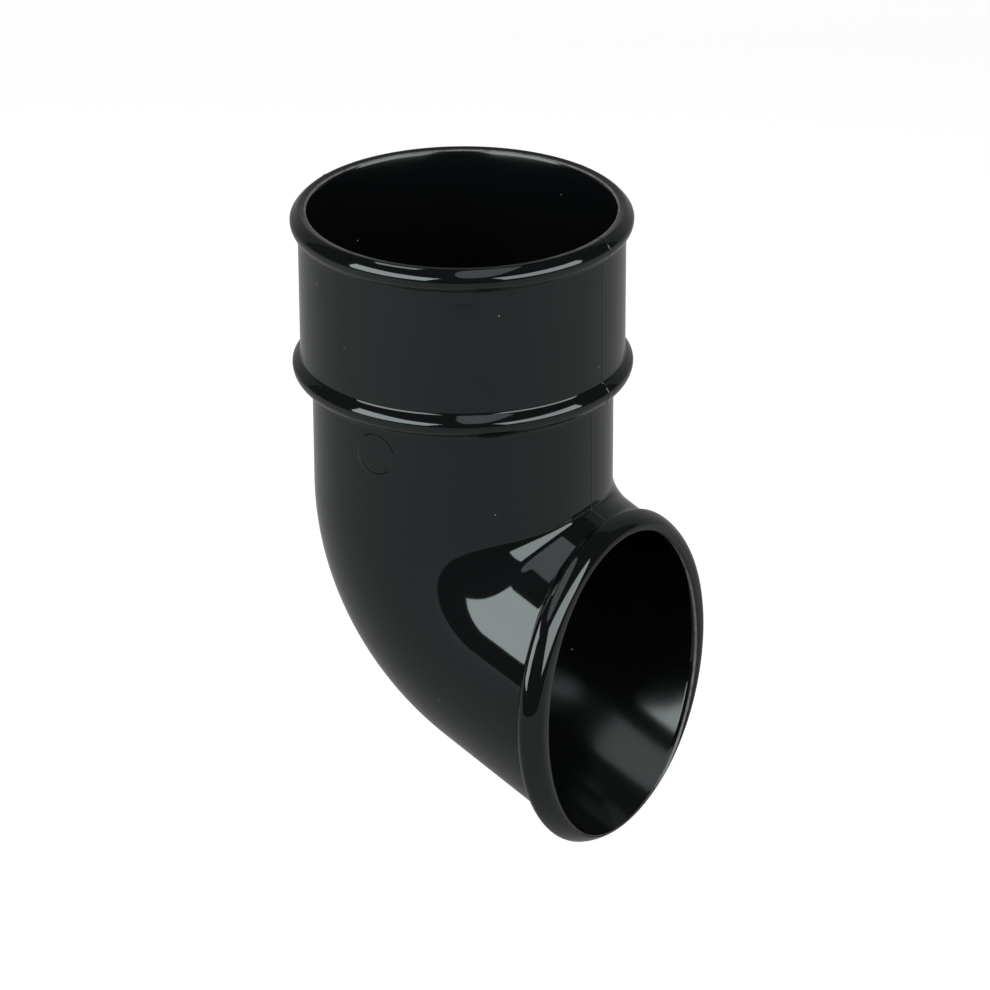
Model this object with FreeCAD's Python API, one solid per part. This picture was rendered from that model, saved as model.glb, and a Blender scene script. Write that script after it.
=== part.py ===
import FreeCAD, Part
import math
import os

# Round downpipe that pushes into the socket, in millimetres
PIPE_DIAMETER = 68.0
PIPE_CLEARANCE = 0.5

# Socket, from the pipe stop at z = 0 up to the mouth
SOCKET_DEPTH = 37.6
SOCKET_WALL = 2.1
MOUTH_CHAMFER = 0.5
STOP_LEDGE = 1.4
STOP_FUNNEL = 3.0

# Tube below the socket
BODY_DIAMETER = 68.0
BODY_WALL = 1.8
BODY_DROP = 28.7

# Bend towards +X: its angle in degrees, and the radius left inside its throat
BEND_ANGLE = 64.5
BEND_THROAT = 0.4

# Round beads: reach from the axis, radius of the section, and flats that its circle has
MOUTH_BEAD_REACH = 38.35
MOUTH_BEAD_ROUND = 3.05
STOP_BEAD_REACH = 38.4
STOP_BEAD_ROUND = 3.3
BEAD_FLATS = 24

# Outlet ring: a circle that stands nearly upright across the slanting tube
OUTLET_REACH = 40.0
OUTLET_LEAN = 2.3
RING_REACH = 38.7
RING_ROUND = 3.2
RING_RISE = 0.1

# Opening of the outlet: flares to be wider than the tube across, and barely higher
OPENING_SPREAD = 2.1
OPENING_LIFT = 0.1
OPENING_DEPTH = 1.8

FULL_TURN = 360
ORIGIN = FreeCAD.Vector(0, 0, 0)
UP = FreeCAD.Vector(0, 0, 1)
ACROSS = FreeCAD.Vector(0, 1, 0)

BORE_RADIUS = PIPE_DIAMETER / 2 + PIPE_CLEARANCE
BODY_RADIUS = BODY_DIAMETER / 2
TUBE_RADIUS = BODY_RADIUS - BODY_WALL
BEND_RADIUS = BODY_RADIUS + BEND_THROAT
BEAD_HEIGHT = SOCKET_DEPTH - MOUTH_BEAD_ROUND


def at(x, z):
    return FreeCAD.Vector(x, 0, z)


def heading(degrees):
    """Unit vector in the plane of symmetry, at an angle above +X."""
    angle = math.radians(degrees)
    return at(math.cos(angle), math.sin(angle))


# Course of the tube's axis, and the leaning middle plane of the outlet ring
BEND_CENTRE = at(BEND_RADIUS, -BODY_DROP)
BEND_END = BEND_CENTRE - heading(BEND_ANGLE) * BEND_RADIUS
RUN_HEADING = heading(BEND_ANGLE - 90)
OUTLET_POINT = BEND_END + RUN_HEADING * ((OUTLET_REACH - BEND_END.x) / RUN_HEADING.x)
RING_NORMAL = heading(OUTLET_LEAN)
RING_UP = heading(OUTLET_LEAN + 90)
RING_CENTRE = OUTLET_POINT + RING_UP * RING_RISE
OVAL_STRETCH = 1 / RING_NORMAL.dot(RUN_HEADING)
FLARE_END = OUTLET_POINT + RUN_HEADING * (RING_ROUND * OVAL_STRETCH)
FLARE_START = FLARE_END - RUN_HEADING * (OPENING_DEPTH * OVAL_STRETCH)


def bead(reach, section_radius, centre, axis):
    """Round ring about an axis, its section a circle laid out in even flats."""
    middle = centre + ACROSS * (reach - section_radius)
    corner_radius = section_radius / math.cos(math.pi / BEAD_FLATS)
    corners = []
    for count in range(BEAD_FLATS + 1):
        angle = math.pi * (2 * count + 1) / BEAD_FLATS
        spoke = ACROSS * math.cos(angle) + axis * math.sin(angle)
        corners.append(middle + spoke * corner_radius)
    return Part.Face(Part.makePolygon(corners)).revolve(centre, axis, FULL_TURN)


def rim(reach, section_radius, centre, axis):
    """Bead that ends a tube, filled inwards so that its crest carries a flat land."""
    land = Part.makeCylinder(reach - section_radius, section_radius, centre, axis)
    return bead(reach, section_radius, centre, axis).fuse(land)


def beyond(point):
    """Everything past a plane that leans with the outlet ring."""
    size = 4 * BODY_DIAMETER
    block = Part.makeBox(size, size, size, FreeCAD.Vector(0, -size / 2, -size / 2))
    block.rotate(ORIGIN, -ACROSS, OUTLET_LEAN)
    block.translate(point)
    return block


def bent_tube(radius, end):
    """Solid course of the tube: round the bend, then on to a leaning plane through its end."""
    disc = Part.Face(Part.Wire(Part.makeCircle(radius, at(0, -BODY_DROP), UP)))
    bend = disc.revolve(BEND_CENTRE, -ACROSS, BEND_ANGLE)
    run = Part.makeCylinder(radius, 2 * BODY_DIAMETER, BEND_END, RUN_HEADING)
    return bend.fuse(run).cut(beyond(end))


def outer_form():
    socket = Part.makeCylinder(BORE_RADIUS + SOCKET_WALL, BEAD_HEIGHT)
    drop = Part.makeCylinder(BODY_RADIUS, BODY_DROP, at(0, -BODY_DROP))
    mouth = rim(MOUTH_BEAD_REACH, MOUTH_BEAD_ROUND, at(0, BEAD_HEIGHT), UP)
    stop = bead(STOP_BEAD_REACH, STOP_BEAD_ROUND, ORIGIN, UP)
    outlet = rim(RING_REACH, RING_ROUND, RING_CENTRE, RING_NORMAL)
    return drop.multiFuse([socket, mouth, stop, bent_tube(BODY_RADIUS, OUTLET_POINT), outlet])


def socket_bore():
    """The pipe's seat: chamfered at the mouth, with a ledge and a funnel at its foot."""
    outline = Part.makePolygon([
        at(0, SOCKET_DEPTH),
        at(BORE_RADIUS + MOUTH_CHAMFER, SOCKET_DEPTH),
        at(BORE_RADIUS, SOCKET_DEPTH - MOUTH_CHAMFER),
        at(BORE_RADIUS, 0),
        at(BORE_RADIUS - STOP_LEDGE, 0),
        at(TUBE_RADIUS, -STOP_FUNNEL),
        at(TUBE_RADIUS, -BODY_DROP),
        at(0, -BODY_DROP),
        at(0, SOCKET_DEPTH),
    ])
    return Part.Face(outline).revolve(ORIGIN, UP, FULL_TURN)


def oval(centre, half_width, half_height):
    """Oval in a plane that leans with the outlet ring."""
    top = centre + RING_UP * half_height
    side = centre + ACROSS * half_width
    if half_width > half_height:
        return Part.Wire(Part.Ellipse(side, top, centre).toShape())
    return Part.Wire(Part.Ellipse(top, side, centre).toShape())


def outlet_flare():
    """Widens the tube's own oval just behind the flat front of the outlet ring."""
    height = TUBE_RADIUS * OVAL_STRETCH
    throat = oval(FLARE_START, TUBE_RADIUS, height)
    opening = oval(FLARE_END, TUBE_RADIUS + OPENING_SPREAD, height + OPENING_LIFT)
    return Part.makeLoft([throat, opening], True)


def shoe_body():
    passage = socket_bore().multiFuse([bent_tube(TUBE_RADIUS, FLARE_START), outlet_flare()])
    return outer_form().cut(passage).removeSplitter()


os.makedirs("parts", exist_ok=True)
shoe_body().exportStep("parts/shoe_body.step")
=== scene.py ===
import math

import bpy
import numpy as np
from mathutils import Matrix, Vector


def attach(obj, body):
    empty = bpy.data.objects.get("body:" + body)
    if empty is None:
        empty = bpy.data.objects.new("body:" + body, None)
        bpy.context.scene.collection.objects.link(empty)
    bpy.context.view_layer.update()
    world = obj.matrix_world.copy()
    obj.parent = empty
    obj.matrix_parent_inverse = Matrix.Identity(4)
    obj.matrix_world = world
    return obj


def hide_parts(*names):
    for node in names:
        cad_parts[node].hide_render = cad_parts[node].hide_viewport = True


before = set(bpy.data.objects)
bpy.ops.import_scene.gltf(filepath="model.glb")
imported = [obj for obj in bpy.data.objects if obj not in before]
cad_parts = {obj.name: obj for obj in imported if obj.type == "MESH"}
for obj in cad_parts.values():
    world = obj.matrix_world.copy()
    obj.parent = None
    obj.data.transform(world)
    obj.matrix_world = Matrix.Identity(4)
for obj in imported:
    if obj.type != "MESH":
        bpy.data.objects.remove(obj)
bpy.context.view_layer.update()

MM = 0.001

# Sizes of the moulding in millimetres, the same as in the solid
BORE_RADIUS = 34.5
SOCKET_DEPTH = 37.6
SOCKET_WALL = 2.1
STOP_LEDGE = 1.4
STOP_FUNNEL = 3.0
BODY_RADIUS = 34.0
TUBE_RADIUS = 32.2
BODY_DROP = 28.7
BEND_ANGLE = math.radians(64.5)
BEND_THROAT = 0.4
MOUTH_BEAD_REACH = 38.35
MOUTH_BEAD_ROUND = 3.05
STOP_BEAD_REACH = 38.4
STOP_BEAD_ROUND = 3.3
OUTLET_REACH = 40.0
OUTLET_LEAN = math.radians(2.3)
RING_REACH = 38.7
RING_ROUND = 3.2
RING_RISE = 0.1
OPENING_SPREAD = 2.1
OPENING_LIFT = 0.1
OPENING_DEPTH = 1.8

# Reach of small rounds that are in the scene only
JUNCTION_ROUND = 0.4
CREST_ROUND = 0.3
RIM_ROUND = 0.2
LEDGE_ROUND = 0.2

# Inner edge of the mouth: its drop, the bead's turn where its slope starts, and its lead-in
RIM_DROP = 0.6
RIM_TURN = 67
RIM_LEAD = 0.6
RIM_SPREAD = 0.25

# Sections of the beads: spans of turn in degrees from below, each with its share of the round
MOUTH_BEAD_TURNS = ((-90, 0, 1.0), (0, 36, 0.62), (36, 50, 2.1), (50, 90, 0.8))
STOP_BEAD_TURNS = ((-90, 0, 1.0), (0, 36, 0.42), (36, 50, 2.4), (50, 90, 0.9))
MOUTH_NOSE_LIFT = 0.25
STOP_NOSE_LIFT = 0.52

# Section of the outlet ring: spans of turn in degrees from its back, each with its radius
RING_CREST = -0.6
RING_TURNS = ((-90, -30, 3.4), (-30, 20, 1.2), (20, 45, 6.2), (45, 90, 3.4))

# Parting line in the middle plane: its rise, half its width, and columns near it, in degrees
SEAM_RISE = 0.1
SEAM_SPREAD = math.radians(0.3)
SEAM_COLUMNS = (-0.6, -0.3, -0.15, 0, 0.15, 0.3, 0.6)

# Fineness of the grid and of its working
EVEN_COLUMNS = 256
SAME_ANGLE_DIGITS = 6
TURN_STEP = 0.5
BEAD_POINTS = 160
RING_POINTS = 200
BEND_POINTS = 200
LIP_POINTS = 40
CORNER_STEPS = (0.2, 0.4, 0.6, 0.8)
SEARCH_STEPS = 1500
HALVINGS = 40
JUST_PAST = 1.001

# Rows with more roughness and a painted pale highlight: the round of the mouth's inner edge, and
# the turn of the outlet's lip
RIM_ROWS = (-4, -3, -2, -1, 0)
LIP_ROWS = (5, 6)

QUARTER = math.pi / 2
ACROSS = np.array([0.0, 1.0, 0.0])


def heading(angle):
    """Unit vectors in the plane of symmetry, at an angle above +X."""
    angle = np.asarray(angle, float)
    return np.stack([np.cos(angle), np.zeros_like(angle), np.sin(angle)], -1)


# Course of the tube's axis, and the leaning middle plane of the outlet ring
BEND_RADIUS = BODY_RADIUS + BEND_THROAT
AXES_MEET = -BODY_DROP - BEND_RADIUS * math.tan(BEND_ANGLE / 2)
RUN_HEADING = heading(BEND_ANGLE - QUARTER)
RUN_UP = heading(BEND_ANGLE)
MEETING = np.array([0.0, 0.0, AXES_MEET])
OUTLET_POINT = MEETING + RUN_HEADING * (OUTLET_REACH / RUN_HEADING[0])
RING_NORMAL = heading(OUTLET_LEAN)
RING_UP = heading(OUTLET_LEAN + QUARTER)
RING_CENTRE = OUTLET_POINT + RING_UP * RING_RISE
OVAL_STRETCH = 1 / float(RING_NORMAL @ RUN_HEADING)


def columns():
    """Angles round the tube, 0 on the outlet's side: closer together at the parting line."""
    even = np.linspace(-math.pi, math.pi, EVEN_COLUMNS + 1)[:-1]
    seam = np.radians(SEAM_COLUMNS)
    angles = np.mod(np.concatenate([even, seam, seam + math.pi]), 2 * math.pi)
    return np.unique(np.round(angles, SAME_ANGLE_DIGITS))


THETA = columns()


def around(radius, z):
    """Rows of circles about the socket's axis, from a profile of radii and heights."""
    radius, z = np.asarray(radius, float)[:, None], np.asarray(z, float)[:, None]
    return np.stack([radius * np.cos(THETA), radius * np.sin(THETA), z + 0 * THETA], -1)


def turned(turns):
    """Outline whose normal turns through (start, end, radius) spans: turn, out, along."""
    first, last = turns[0][0], turns[-1][1]
    angle = np.radians(np.arange(first, last + TURN_STEP / 2, TURN_STEP))
    middle = (angle[1:] + angle[:-1]) / 2
    radius = np.zeros_like(middle)
    for start, end, size in turns:
        radius[(middle > math.radians(start)) & (middle < math.radians(end))] = size
    steps = radius * np.diff(angle)
    out = np.concatenate([[0], np.cumsum(-steps * np.sin(middle))])
    along = np.concatenate([[0], np.cumsum(steps * np.cos(middle))])
    return angle, out - np.interp(0, angle, out), along - np.interp(0, angle, along)


def bead_profile(turns, reach, nose_z, size, low_radius, high_radius, high_turn=90):
    """Radii and heights over a bead from above, cut where it meets what it stands on."""
    angle, out, along = turned([(start, end, share * size) for start, end, share in turns])
    radius, z = reach + out, nose_z + along
    low, high = angle < 0, angle > 0
    foot = np.interp(low_radius, radius[low], angle[low])
    top = np.interp(-high_radius, -radius[high], angle[high])
    top = min(top, math.radians(high_turn))
    want = np.linspace(top, foot, BEAD_POINTS)
    return np.interp(want, angle, radius), np.interp(want, angle, z)


def bend(radius):
    """Rows of the tube's bend: in each column an arc between its two straight lines."""
    offset = radius * np.cos(THETA)
    local = BEND_RADIUS - offset
    rise = (offset + local) * math.tan(BEND_ANGLE / 2)
    centre = np.stack([offset + local, radius * np.sin(THETA), AXES_MEET + rise], -1)
    turn = np.linspace(0, BEND_ANGLE, BEND_POINTS)
    return centre - local[:, None] * heading(turn)[:, None, :]


def on_run(s, radius):
    """Points on the straight run of the tube, s from where the two axes meet."""
    spoke = np.cos(THETA)[:, None] * RUN_UP + np.sin(THETA)[:, None] * ACROSS
    return MEETING + s[:, None] * RUN_HEADING + radius * spoke


def in_ring(points):
    """Depth along the ring's normal, radius and angle from its top, of points."""
    offset = points - RING_CENTRE
    up, side = offset @ RING_UP, offset @ ACROSS
    return offset @ RING_NORMAL, np.hypot(up, side), np.arctan2(side, up)


def at_ring(depth, radius, angle):
    """Points from their depth along the ring's normal, radius and angle from its top."""
    spoke = np.cos(angle)[..., None] * RING_UP + np.sin(angle)[..., None] * ACROSS
    return RING_CENTRE + depth[..., None] * RING_NORMAL + radius[..., None] * spoke


def ring_outline():
    """Turn, reach and depth over the ring's section, its front in the outlet's front plane."""
    angle, out, along = turned(RING_TURNS)
    depth = RING_CREST + along
    return angle, RING_REACH + out, depth * RING_ROUND / depth[-1]


RING_TURN, RING_OUT, RING_DEPTH = ring_outline()


def within_ring(points):
    """Whether points are inside the ring's outline, which is filled up to its axis."""
    depth, radius, _ = in_ring(points)
    reach = np.interp(depth, RING_DEPTH, RING_OUT)
    return (depth > RING_DEPTH[0]) & (depth < RING_DEPTH[-1]) & (radius < reach)


def bisect(hit, low, high):
    """Where each column's test turns from false (at low) to true (at high)."""
    for _ in range(HALVINGS):
        middle = (low + high) / 2
        true = hit(middle)
        high = np.where(true, middle, high)
        low = np.where(true, low, middle)
    return (low + high) / 2


def ring_entry():
    """Distance along the axis at which each line of the tube's outside enters the ring."""
    def inside(s):
        return within_ring(on_run(s, BODY_RADIUS))
    steps = np.linspace(-BODY_RADIUS, 3 * BODY_RADIUS, SEARCH_STEPS)
    hits = np.stack([inside(np.full(len(THETA), s)) for s in steps])
    first = hits.argmax(0)
    return bisect(inside, steps[first - 1], steps[first])


def oval(centre, half_width, half_height):
    """Oval round a point, in a plane that leans with the ring."""
    cos, sin = np.cos(THETA)[:, None], np.sin(THETA)[:, None]
    return centre + half_height * cos * RING_UP + half_width * sin * ACROSS


def leaving_ring(throat, mouth):
    """Where lines from one oval to another leave the ring: on its flat front or its round."""
    def outside(t):
        return ~within_ring(throat + t[:, None] * (mouth - throat))
    t = bisect(outside, np.zeros(len(THETA)), np.full(len(THETA), JUST_PAST))
    return throat + t[:, None] * (mouth - throat)


def lip(edge, corner, throat):
    """Rounded lip from the ring's front into the tube, in line with both where it ends."""
    t = np.linspace(0, 1, LIP_POINTS)[:, None, None]
    return (1 - t) ** 2 * edge + 2 * t * (1 - t) * corner + t ** 2 * throat


def between(first, last):
    """Straight stretch from one ring of points to another."""
    return np.stack([first, last])


def ring_skin(entry, edge):
    """Over the ring from the tube's junction to the opening's edge, with flats at both ends."""
    depth, radius, psi = in_ring(entry)
    edge_depth, edge_radius, edge_psi = in_ring(edge)
    back, land = RING_OUT[0] - radius, RING_OUT[-1] - edge_radius
    start = np.where(back > 0, RING_TURN[0], np.interp(depth, RING_DEPTH, RING_TURN))
    finish = np.where(land > 0, RING_TURN[-1], np.interp(edge_depth, RING_DEPTH, RING_TURN))
    back, land = np.maximum(back, 0), np.maximum(land, 0)
    steps = np.hypot(np.diff(RING_OUT), np.diff(RING_DEPTH))
    length = np.concatenate([[0], np.cumsum(steps)])
    first, last = np.interp(start, RING_TURN, length), np.interp(finish, RING_TURN, length)
    w = np.linspace(0, 1, RING_POINTS)[:, None]
    run = first - back + w * (back + last - first + land)
    on_round = np.clip(run, first, last)
    reach = np.interp(on_round, length, RING_OUT)
    reach = reach - (first - np.minimum(run, first)) - np.maximum(run - last, 0)
    turn = (edge_psi - psi + math.pi) % (2 * math.pi) - math.pi
    return at_ring(np.interp(on_round, length, RING_DEPTH), reach, psi + w * turn)


def resample(stretch, count, cut_start, cut_end):
    """A stretch with that many rows, evenly spread in each column, cut back at its ends."""
    steps = np.linalg.norm(np.diff(stretch, axis=0), axis=2)
    run = np.concatenate([np.zeros((1, stretch.shape[1])), np.cumsum(steps, 0)])
    rows = np.empty((count, stretch.shape[1], 3))
    for j in range(stretch.shape[1]):
        want = np.linspace(cut_start, run[-1, j] - cut_end, count)
        for k in range(3):
            rows[:, j, k] = np.interp(want, run[:, j], stretch[:, j, k])
    return rows


def skin(stretches):
    """Grid from (stretch, rows, reach of the round at its end) triples, and where each starts."""
    pieces, total = [], len(stretches)
    for i, (stretch, count, reach) in enumerate(stretches):
        pieces.append(resample(stretch, count, stretches[i - 1][2], reach))
    rows, starts = [], []
    for i, piece in enumerate(pieces):
        starts.append(sum(len(part) for part in rows))
        reach, after = stretches[i][2], pieces[(i + 1) % total]
        if reach == 0:
            rows.append(piece[:-1])
            continue
        rows.append(piece)
        corner = stretches[i][0][-1]
        for t in CORNER_STEPS:
            bow = (1 - t) ** 2 * piece[-1] + 2 * t * (1 - t) * corner + t ** 2 * after[0]
            rows.append(bow[None])
    return np.concatenate(rows), starts


def seamed(grid, last_row):
    """Raises the parting line, a fine ridge in the middle plane, on the outside."""
    down = np.roll(grid, -1, 0) - np.roll(grid, 1, 0)
    over = np.roll(grid, -1, 1) - np.roll(grid, 1, 1)
    out = np.cross(down, over)
    out /= np.linalg.norm(out, axis=2, keepdims=True)
    apart = np.abs((THETA + QUARTER) % math.pi - QUARTER)
    rise = SEAM_RISE * np.clip(1 - apart / SEAM_SPREAD, 0, 1)
    grid = grid.copy()
    grid[1:last_row] += out[1:last_row] * rise[None, :, None]
    return grid


def moulding_grid():
    """Points of the moulding's skin, its first row inside, and its rows that get more roughness
    and a painted highlight.
    """
    outer = BORE_RADIUS + SOCKET_WALL
    rim_radius = BORE_RADIUS + RIM_SPREAD
    rim_z = SOCKET_DEPTH - RIM_DROP
    lead_z = rim_z - RIM_LEAD
    ledge_radius = BORE_RADIUS - STOP_LEDGE
    mouth_nose_z = SOCKET_DEPTH - MOUTH_BEAD_ROUND + MOUTH_NOSE_LIFT
    mouth_radius, mouth_z = bead_profile(MOUTH_BEAD_TURNS, MOUTH_BEAD_REACH, mouth_nose_z,
                                         MOUTH_BEAD_ROUND, outer, BORE_RADIUS, RIM_TURN)
    stop_radius, stop_z = bead_profile(STOP_BEAD_TURNS, STOP_BEAD_REACH, STOP_NOSE_LIFT,
                                       STOP_BEAD_ROUND, BODY_RADIUS, outer)

    entry = on_run(ring_entry(), BODY_RADIUS)
    flare_end = OUTLET_POINT + RUN_HEADING * RING_ROUND * OVAL_STRETCH
    flare_start = flare_end - RUN_HEADING * OPENING_DEPTH * OVAL_STRETCH
    height = TUBE_RADIUS * OVAL_STRETCH
    throat = oval(flare_start, TUBE_RADIUS, height)
    front = oval(flare_end, TUBE_RADIUS + OPENING_SPREAD, height + OPENING_LIFT)
    edge = leaving_ring(throat, front)
    corner = leaving_ring(throat, oval(flare_end, TUBE_RADIUS, height))
    outer_bend = bend(BODY_RADIUS)
    inner_bend = bend(TUBE_RADIUS)
    body_crest = around([BODY_RADIUS], [stop_z[-1]])[0]
    funnel_foot = around([TUBE_RADIUS], [-STOP_FUNNEL])[0]

    outside = [
        (around([rim_radius, mouth_radius[0]], [rim_z, mouth_z[0]]), 4, CREST_ROUND),
        (around(mouth_radius, mouth_z), 34, JUNCTION_ROUND),
        (around([outer, outer], [mouth_z[-1], stop_z[0]]), 12, JUNCTION_ROUND),
        (around(stop_radius, stop_z), 34, JUNCTION_ROUND),
        (between(body_crest, outer_bend[0]), 14, 0),
        (outer_bend, 60, 0),
        (between(outer_bend[-1], entry), 14, JUNCTION_ROUND),
    ]
    ring = [(ring_skin(entry, edge), 44, 0), (lip(edge, corner, throat), 12, 0)]
    inside = [
        (between(throat, inner_bend[-1]), 10, 0),
        (inner_bend[::-1], 30, 0),
        (between(inner_bend[0], funnel_foot), 6, LEDGE_ROUND),
        (around([TUBE_RADIUS, ledge_radius], [-STOP_FUNNEL, 0]), 3, LEDGE_ROUND),
        (around([ledge_radius, BORE_RADIUS], [0, 0]), 3, LEDGE_ROUND),
        (around([BORE_RADIUS, BORE_RADIUS], [0, lead_z]), 10, 0),
        (around([BORE_RADIUS, rim_radius], [lead_z, rim_z]), 3, RIM_ROUND),
    ]
    rows, starts = skin(outside + ring + inside)
    ring_start, lip_start, inside_start = starts[len(outside):len(outside) + 3]
    # Edge rows that are roughened and painted pale as a painted highlight line
    roughened_highlit_rows = list(RIM_ROWS) + [lip_start + row for row in LIP_ROWS]
    return seamed(rows, ring_start), inside_start, roughened_highlit_rows


def marked_rows(mesh, name, rows, cols, marked):
    """A number at each point of a grid's mesh: 1 in the marked rows, 0 elsewhere."""
    value = np.zeros((rows, cols), np.float32)
    value[marked] = 1
    mesh.attributes.new(name, "FLOAT", "POINT").data.foreach_set("value", value.ravel())


def closed_mesh(name, grid, first_inside, roughened_highlit_rows):
    """Mesh of a grid of points whose rows and columns both close on themselves."""
    rows, cols = grid.shape[:2]
    index = np.arange(rows * cols).reshape(rows, cols)
    down, over = np.roll(index, -1, 0), np.roll(index, -1, 1)
    quads = np.stack([index, down, np.roll(down, -1, 1), over], -1).reshape(-1, 4)
    mesh = bpy.data.meshes.new(name)
    mesh.from_pydata((grid.reshape(-1, 3) * MM).tolist(), [], quads.tolist())
    mesh.shade_smooth()
    marked_rows(mesh, "inside", rows, cols, slice(first_inside, None))
    # Marks the rows that get more roughness and a painted pale highlight
    marked_rows(mesh, "roughened_highlit_rows", rows, cols, roughened_highlit_rows)
    piece = bpy.data.objects.new(name, mesh)
    bpy.context.collection.objects.link(piece)
    return piece


shoe = closed_mesh("shoe_skin", *moulding_grid())

# Colours of the plastic, its gloss, the dust on it, and the painted highlight on its edge rows
PLASTIC = (0.002, 0.0023, 0.0026, 1)
PALE = (0.12, 0.12, 0.115, 1)
GLOSS_TINT = (0.88, 1.0, 0.99, 1)

# Roughness, and what it gains by wear, inside, and on specks of dust
ROUGHNESS = 0.04
WEAR_ROUGHNESS = 0.03
INSIDE_ROUGHNESS = 0.1
SPECK_ROUGHNESS = 0.4

# Paleness of the painted highlight on the edge rows for each part of roughness that it adds
HIGHLIGHT_PALENESS = 1.6

# Noises: scale as a number to the metre, and detail
WEAR_NOISE = (90, 3)
ROUGH_HIGHLIGHT_NOISE = (700, 2)
WAVE_NOISE = (45, 1)
GRAIN_NOISE = (900, 2)

# Specks of dust: cells to the metre, and radius of a speck as a share of its cell
SPECK_SCALE = 110
SPECK_SIZE = 0.022

# Relief, and the ring that a pin left on the body, in millimetres
WAVE_RELIEF = 0.012
GRAIN_RELIEF = 0.0008
WITNESS_RELIEF = 0.09
WITNESS_SPOT = (-1.6, -33.96, -10.6)
WITNESS_RADIUS = 4.7
WITNESS_SPREAD = 0.3


def maths(tree, operation, first, second=None, third=None):
    """Output of a Math node; an input is a number or another node's output."""
    made = tree.nodes.new("ShaderNodeMath")
    made.operation = operation
    for socket, value in zip(made.inputs, (first, second, third)):
        if value is None:
            continue
        if isinstance(value, (int, float)):
            socket.default_value = value
        else:
            tree.links.new(value, socket)
    return made.outputs[0]


def vector_maths(tree, operation, first, second):
    """Number from a node's vector and a fixed one."""
    made = tree.nodes.new("ShaderNodeVectorMath")
    made.operation = operation
    made.inputs[1].default_value = second
    tree.links.new(first, made.inputs[0])
    return made.outputs["Value"]


def noise(tree, place, scale, detail):
    made = tree.nodes.new("ShaderNodeTexNoise")
    made.inputs["Scale"].default_value = scale
    made.inputs["Detail"].default_value = detail
    tree.links.new(place, made.inputs["Vector"])
    return made.outputs["Fac"]


def point_value(tree, name):
    """Number that the mesh carries at its points under that name."""
    made = tree.nodes.new("ShaderNodeAttribute")
    made.attribute_name = name
    return made.outputs["Fac"]


def witness_mark(tree, place):
    """1 on a fine ring round the witness spot, falling to 0 on both sides."""
    away = vector_maths(tree, "DISTANCE", place, [value * MM for value in WITNESS_SPOT])
    off = maths(tree, "ABSOLUTE", maths(tree, "SUBTRACT", away, WITNESS_RADIUS * MM))
    share = maths(tree, "MINIMUM", maths(tree, "DIVIDE", off, WITNESS_SPREAD * MM), 1)
    return maths(tree, "SUBTRACT", 1, share)


def gloss_plastic():
    """Near black, glossy; duller inside, with a faint waviness, dust, a pin's witness mark, and a
    painted highlight on its edge rows.
    """
    material = bpy.data.materials.new("black_plastic")
    material.use_nodes = True
    tree = material.node_tree
    shader = tree.nodes["Principled BSDF"]
    shader.inputs["Specular Tint"].default_value = GLOSS_TINT
    place = tree.nodes.new("ShaderNodeTexCoord").outputs["Object"]

    # Edge rows: more roughness, and a painted pale highlight, both patchy by noise
    edge_rough_and_highlight = maths(tree, "MULTIPLY", point_value(tree, "roughened_highlit_rows"), noise(tree, place, *ROUGH_HIGHLIGHT_NOISE))
    rough = maths(tree, "MULTIPLY_ADD", noise(tree, place, *WEAR_NOISE), WEAR_ROUGHNESS, ROUGHNESS)
    rough = maths(tree, "MULTIPLY_ADD", point_value(tree, "inside"), INSIDE_ROUGHNESS, rough)
    rough = maths(tree, "ADD", rough, edge_rough_and_highlight)

    specks = tree.nodes.new("ShaderNodeTexVoronoi")
    specks.inputs["Scale"].default_value = SPECK_SCALE
    tree.links.new(place, specks.inputs["Vector"])
    speck = maths(tree, "LESS_THAN", specks.outputs["Distance"], SPECK_SIZE)
    # Paler on dust specks, and on the edge rows as a painted highlight
    pale = maths(tree, "MULTIPLY_ADD", edge_rough_and_highlight, HIGHLIGHT_PALENESS, speck)
    colour = tree.nodes.new("ShaderNodeMix")
    colour.data_type = "RGBA"
    colour.inputs["A"].default_value = PLASTIC
    colour.inputs["B"].default_value = PALE
    tree.links.new(pale, colour.inputs["Factor"])
    tree.links.new(colour.outputs["Result"], shader.inputs["Base Color"])
    rough = maths(tree, "MULTIPLY_ADD", speck, SPECK_ROUGHNESS, rough)
    tree.links.new(rough, shader.inputs["Roughness"])

    relief = maths(tree, "MULTIPLY", noise(tree, place, *WAVE_NOISE), WAVE_RELIEF)
    relief = maths(tree, "MULTIPLY_ADD", noise(tree, place, *GRAIN_NOISE), GRAIN_RELIEF, relief)
    relief = maths(tree, "MULTIPLY_ADD", witness_mark(tree, place), WITNESS_RELIEF, relief)
    bump = tree.nodes.new("ShaderNodeBump")
    bump.inputs["Distance"].default_value = MM
    tree.links.new(relief, bump.inputs["Height"])
    tree.links.new(bump.outputs["Normal"], shader.inputs["Normal"])
    return material


shoe.data.materials.append(gloss_plastic())
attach(shoe, "root")
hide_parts("shoe_body")

# Camera, fitted to the photograph: degrees, millimetres, and pixels of the square picture
VIEW_AZIMUTH = -57.914
VIEW_ELEVATION = 25.339
VIEW_ROLL = -0.216
VIEW_DISTANCE = 1123.3
VIEW_SHIFT = (7.125, -30.488)
FOCAL_PIXELS = 4984.2
IMAGE_PIXELS = 990

# Width of the sensor in millimetres, and the nearest and farthest that is seen, in metres
SENSOR = 36.0
CLIP_NEAR = 0.05
CLIP_FAR = 20


def direction(azimuth, elevation):
    """Unit vector at angles in degrees, round from +X and above the level."""
    azimuth, elevation = math.radians(azimuth), math.radians(elevation)
    return Vector((math.cos(azimuth) * math.cos(elevation),
                   math.sin(azimuth) * math.cos(elevation), math.sin(elevation)))


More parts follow.
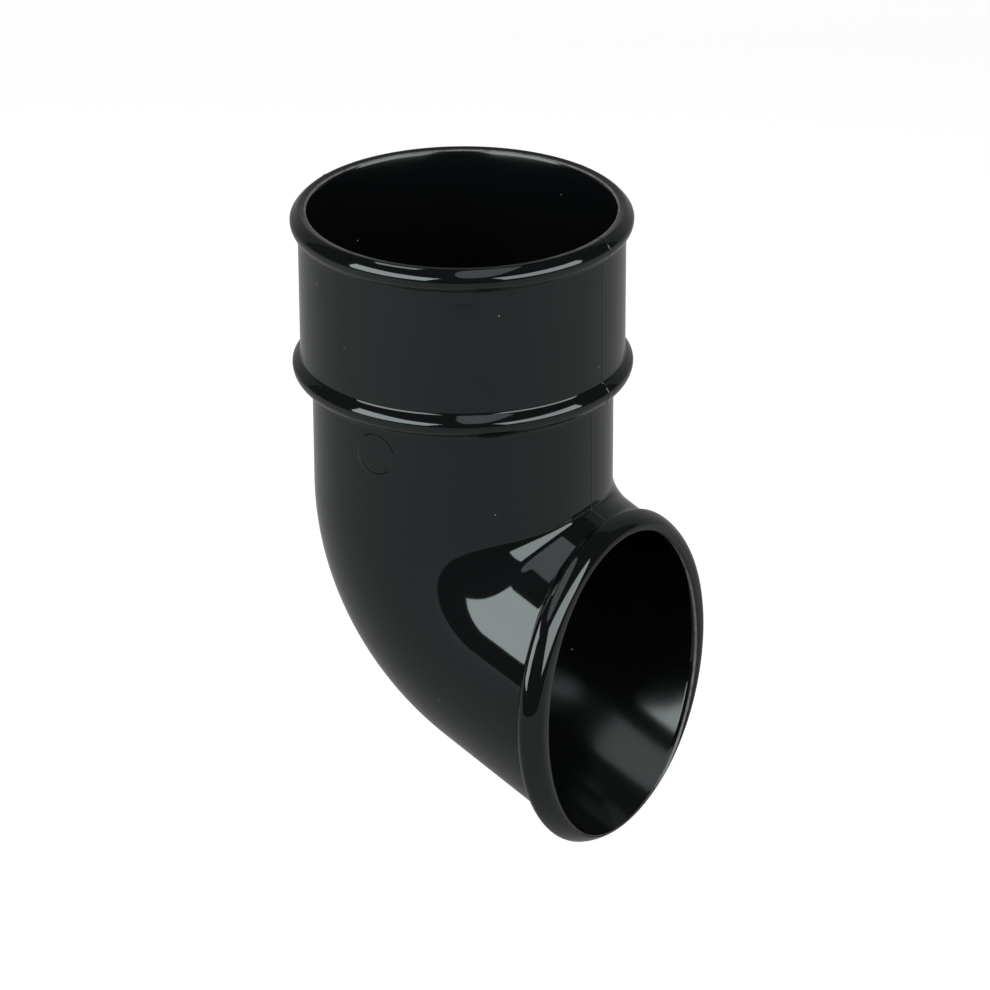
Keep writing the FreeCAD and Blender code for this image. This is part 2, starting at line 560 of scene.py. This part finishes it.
def add_camera():
    back = direction(VIEW_AZIMUTH, VIEW_ELEVATION)
    right = direction(VIEW_AZIMUTH + 90, 0)
    up = back.cross(right)
    place = (right * VIEW_SHIFT[0] + up * VIEW_SHIFT[1] + back * VIEW_DISTANCE) * MM
    cos, sin = math.cos(math.radians(VIEW_ROLL)), math.sin(math.radians(VIEW_ROLL))
    axes = Matrix((right * cos + up * sin, up * cos - right * sin, back)).transposed()
    data = bpy.data.cameras.new("camera")
    data.sensor_width = SENSOR
    data.lens = FOCAL_PIXELS / IMAGE_PIXELS * SENSOR
    data.clip_start = CLIP_NEAR
    data.clip_end = CLIP_FAR
    camera = bpy.data.objects.new("camera", data)
    camera.matrix_world = Matrix.Translation(place) @ axes.to_4x4()
    bpy.context.collection.objects.link(camera)
    bpy.context.scene.camera = camera


add_camera()

# Distance of the two soft boxes and height of the top lamps, in metres
BOX_DISTANCE = 0.65
TOP_HEIGHT = 0.8

# Share of its width times its depth that a lamp's shape fills
SHAPE_FILL = {"RECTANGLE": 1, "ELLIPSE": math.pi / 4}


def area_lamp(name, shape, width, depth, radiance):
    """Flat lamp of a given radiance, which the camera doesn't see."""
    data = bpy.data.lights.new(name, "AREA")
    data.shape = shape
    data.size = width
    data.size_y = depth
    data.energy = radiance * math.pi * SHAPE_FILL[shape] * data.size * data.size_y
    lamp = bpy.data.objects.new(name, data)
    lamp.visible_camera = False
    bpy.context.collection.objects.link(lamp)
    return lamp


def seen_size(degrees):
    """Size of a soft box that spans that angle as the shoe sees it."""
    return 2 * BOX_DISTANCE * math.tan(math.radians(degrees / 2))


def soft_box(name, azimuth, elevation, width, height, radiance):
    """Rectangular lamp that faces the shoe, its size in degrees as the shoe sees it."""
    lamp = area_lamp(name, "RECTANGLE", seen_size(width), seen_size(height), radiance)
    towards = direction(azimuth, elevation)
    lamp.location = towards * BOX_DISTANCE
    lamp.rotation_euler = towards.to_track_quat("Z", "Y").to_euler()


def top_lamp(name, shape, place, width, depth, turn, radiance):
    """Lamp overhead that faces down; its place and size are shares of its height."""
    lamp = area_lamp(name, shape, width * TOP_HEIGHT, depth * TOP_HEIGHT, radiance)
    lamp.location = Vector((*place, 1)) * TOP_HEIGHT
    lamp.rotation_euler.z = math.radians(turn)


soft_box("left_box", -106, 24, 54, 40, 6.4)
soft_box("right_box", -4, 22.5, 56, 35, 5.4)
top_lamp("top_front", "ELLIPSE", (0.38, -0.27), 0.46, 1.05, 24, 1.3)
top_lamp("top_back", "RECTANGLE", (-0.35, -0.24), 0.36, 0.26, 0, 4.2)

# Table and backdrop in metres, along the view from the shoe: ahead of it is positive
FLOOR_Z = -0.1082
FLOOR_FRONT = 0.36
FLOOR_BACK = -0.5
SWEEP_RADIUS = 0.4
SWEEP_STEPS = 12
BACKDROP_HEIGHT = 1.5
HALF_WIDTH = 1.5

# Colour of the floor, and its glow: to the camera, and in gloss and glass ahead and behind
FLOOR_GREY = (0.27, 0.27, 0.27, 1)
FLOOR_LIFT = 0.85
MIRRORED_FRONT = 0.02
MIRRORED_BACK = 0.18

# Distance both ways from the shoe, in metres, over which that glow changes
MIRRORED_SPAN = 0.25

# Strength of the world: as light, in gloss and glass on top of that, and to the camera
SKY_LIGHT = 0.05
SKY_MIRRORED = 0.02
SKY_SEEN = 1.0


def shown(tree, base, seen, mirrored):
    """Strength for light itself, plus what the camera sees directly and in gloss or glass."""
    rays = tree.nodes.new("ShaderNodeLightPath").outputs
    clear = maths(tree, "MAXIMUM", rays["Is Glossy Ray"], rays["Is Transmission Ray"])
    strength = maths(tree, "MULTIPLY_ADD", clear, mirrored, base)
    return maths(tree, "MULTIPLY_ADD", rays["Is Camera Ray"], seen - base, strength)


def floor_material():
    """Pale, and in gloss brighter behind the shoe than in front of it."""
    material = bpy.data.materials.new("pale_floor")
    material.use_nodes = True
    tree = material.node_tree
    tree.nodes.clear()
    place = tree.nodes.new("ShaderNodeTexCoord").outputs["Object"]
    ahead = vector_maths(tree, "DOT_PRODUCT", place, direction(VIEW_AZIMUTH, 0))
    mirrored = tree.nodes.new("ShaderNodeMapRange")
    mirrored.inputs["From Min"].default_value = MIRRORED_SPAN
    mirrored.inputs["From Max"].default_value = -MIRRORED_SPAN
    mirrored.inputs["To Min"].default_value = MIRRORED_FRONT
    mirrored.inputs["To Max"].default_value = MIRRORED_BACK
    tree.links.new(ahead, mirrored.inputs["Value"])
    diffuse = tree.nodes.new("ShaderNodeBsdfDiffuse")
    diffuse.inputs["Color"].default_value = FLOOR_GREY
    glow = tree.nodes.new("ShaderNodeEmission")
    both = tree.nodes.new("ShaderNodeAddShader")
    out = tree.nodes.new("ShaderNodeOutputMaterial")
    strength = shown(tree, 0.0, FLOOR_LIFT, mirrored.outputs["Result"])
    tree.links.new(strength, glow.inputs["Strength"])
    tree.links.new(diffuse.outputs[0], both.inputs[0])
    tree.links.new(glow.outputs[0], both.inputs[1])
    tree.links.new(both.outputs[0], out.inputs["Surface"])
    return material


def add_floor():
    """Table that ends in front of the shoe and sweeps up behind it."""
    view = direction(VIEW_AZIMUTH, 0)
    side = Vector((-view.y, view.x, 0))
    profile = [(FLOOR_FRONT, 0.0), (FLOOR_BACK, 0.0)]
    for k in range(1, SWEEP_STEPS + 1):
        turn = QUARTER * k / SWEEP_STEPS
        ahead = FLOOR_BACK - SWEEP_RADIUS * math.sin(turn)
        profile.append((ahead, SWEEP_RADIUS - SWEEP_RADIUS * math.cos(turn)))
    profile.append((FLOOR_BACK - SWEEP_RADIUS, BACKDROP_HEIGHT))
    verts, faces = [], []
    for ahead, height in profile:
        for across in (-HALF_WIDTH, HALF_WIDTH):
            spot = view * ahead + side * across
            verts.append((spot.x, spot.y, FLOOR_Z + height))
    for k in range(len(profile) - 1):
        faces.append((2 * k, 2 * k + 1, 2 * k + 3, 2 * k + 2))
    mesh = bpy.data.meshes.new("floor")
    mesh.from_pydata(verts, [], faces)
    mesh.shade_smooth()
    floor = bpy.data.objects.new("floor", mesh)
    bpy.context.collection.objects.link(floor)
    mesh.materials.append(floor_material())


add_floor()

world = bpy.data.worlds.new("surround")
bpy.context.scene.world = world
world.use_nodes = True
sky = world.node_tree.nodes["Background"]
sky.inputs["Color"].default_value = (1, 1, 1, 1)
strength = shown(world.node_tree, SKY_LIGHT, SKY_SEEN, SKY_MIRRORED)
world.node_tree.links.new(strength, sky.inputs["Strength"])

bpy.context.scene.view_settings.view_transform = "Standard"
